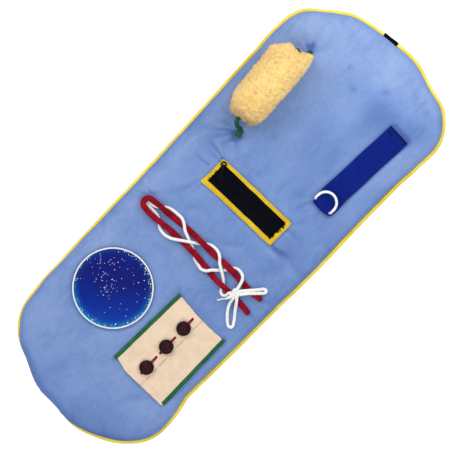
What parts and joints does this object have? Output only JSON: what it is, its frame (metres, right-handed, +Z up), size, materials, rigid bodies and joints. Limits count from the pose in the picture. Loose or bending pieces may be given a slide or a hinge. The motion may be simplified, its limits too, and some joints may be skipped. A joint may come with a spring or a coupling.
{
  "type": "sensory activity lap pad",
  "caption": "Long flat plush lap pad with sewn-on activities: zip, pull strap with ring, fleece roll on a cord, laced tape, gel disc and buttoned flap.",
  "frame": {"origin": "on the underside, below the middle of the pad's outline", "axes": "+X along the pad towards the fleece roll and strap, +Y across it towards the gel disc and roll, +Z up"},
  "size_m": [0.7793, 0.3145, 0.088],
  "materials": {
    "plush": "short plush pile",
    "fibre_filling": "loose fibre",
    "piping": "woven, folded over a cord",
    "black_tape": "woven tape",
    "yellow_fabric": "plain weave, topstitched",
    "zip_black": "woven zip tape",
    "zip_metal": "black lacquer",
    "webbing": "ribbed webbing",
    "ring_white": "smooth moulded plastic",
    "fleece": "deep curly fleece",
    "green_fabric": "woven tape",
    "gel": "clear tinted gel with glitter",
    "film": "clear glossy film",
    "welt": "welded rim",
    "muslin": "plain cotton weave",
    "button_brown": "polished, turned rings",
    "red_thread": "cotton thread",
    "red_fabric": "flat fabric tube",
    "lace": "braided cotton"
  },
  "bodies": {
    "pad": {"front_cover": "plush", "back_cover": "plush", "filling": "fibre_filling", "edge_piping": "piping", "label_tab": "black_tape", "zip_frame": "yellow_fabric", "zip_tape_left": "zip_black", "zip_tape_right": "zip_black", "zip_bottom_stop": "zip_metal", "zip_top_stop_left": "zip_metal", "zip_top_stop_right": "zip_metal", "strap_sewn_end": "webbing", "roll_cord": "green_fabric", "roll_cord_tab_left": "green_fabric", "roll_cord_tab_right": "green_fabric", "disc_back_film": "film", "disc_gel": "gel", "disc_front_film": "film", "disc_welt": "welt", "flap_lower": "muslin", "flap_upper": "muslin", "binding_upper": "green_fabric", "binding_lower": "green_fabric", "lacing_loop": "red_fabric", "lace_run_a": "lace", "lace_run_b": "lace", "bow_knot": "lace", "bow_loop_right": "lace", "bow_loop_down": "lace", "bow_tail": "lace"},
    "slider": {"zip_slider": "zip_metal"},
    "pull": {"zip_pull": "zip_metal"},
    "strap": {"strap": "webbing"},
    "ring": {"d_ring": "ring_white"},
    "roll_carrier": {"roll_core": "fibre_filling"},
    "roll": {"roll_fleece": "fleece"},
    "button_1": {"button_1": "button_brown", "button_thread_1": "red_thread"},
    "button_2": {"button_2": "button_brown", "button_thread_2": "red_thread"},
    "button_3": {"button_3": "button_brown", "button_thread_3": "red_thread"}
  },
  "joints": [
    {"name": "zip_slide", "type": "slide", "parent": "pad", "child": "slider", "axis": [0, -1, 0], "range_m": [0, 0.106]},
    {"name": "zip_pull_fold", "type": "hinge", "parent": "slider", "child": "pull", "pos_m": [0.0486, 0.05775, 0.0273], "axis": [0.4695, -0.8829, 0], "range_deg": [0, 170]},
    {"name": "strap_lift", "type": "hinge", "parent": "pad", "child": "strap", "pos_m": [0.27818, -0.09741, 0.0238], "axis": [0.0645, 0.9979, 0], "range_deg": [0, 110]},
    {"name": "ring_flip", "type": "hinge", "parent": "strap", "child": "ring", "pos_m": [0.125, -0.0875, 0.02645], "axis": [-0.0645, -0.9979, 0], "range_deg": [0, 165]},
    {"name": "roll_slide", "type": "slide", "parent": "pad", "child": "roll_carrier", "axis": [0.9977, 0.068, 0], "range_m": [-0.003, 0.003]},
    {"name": "roll_spin", "type": "hinge", "parent": "roll_carrier", "child": "roll", "pos_m": [0.208, 0.1056, 0.055], "axis": [0.9977, 0.068, 0], "continuous": true},
    {"name": "button_1_tilt", "type": "hinge", "parent": "pad", "child": "button_1", "pos_m": [-0.1608, -0.06306, 0.0238], "axis": [1, 0, 0], "range_deg": [-8, 8], "stiffness_Nm_per_rad": 0.004},
    {"name": "button_2_tilt", "type": "hinge", "parent": "pad", "child": "button_2", "pos_m": [-0.19981, -0.06306, 0.0238], "axis": [1, 0, 0], "range_deg": [-8, 8], "stiffness_Nm_per_rad": 0.004},
    {"name": "button_3_tilt", "type": "hinge", "parent": "pad", "child": "button_3", "pos_m": [-0.24396, -0.06306, 0.0238], "axis": [1, 0, 0], "range_deg": [-8, 8], "stiffness_Nm_per_rad": 0.004}
  ]
}
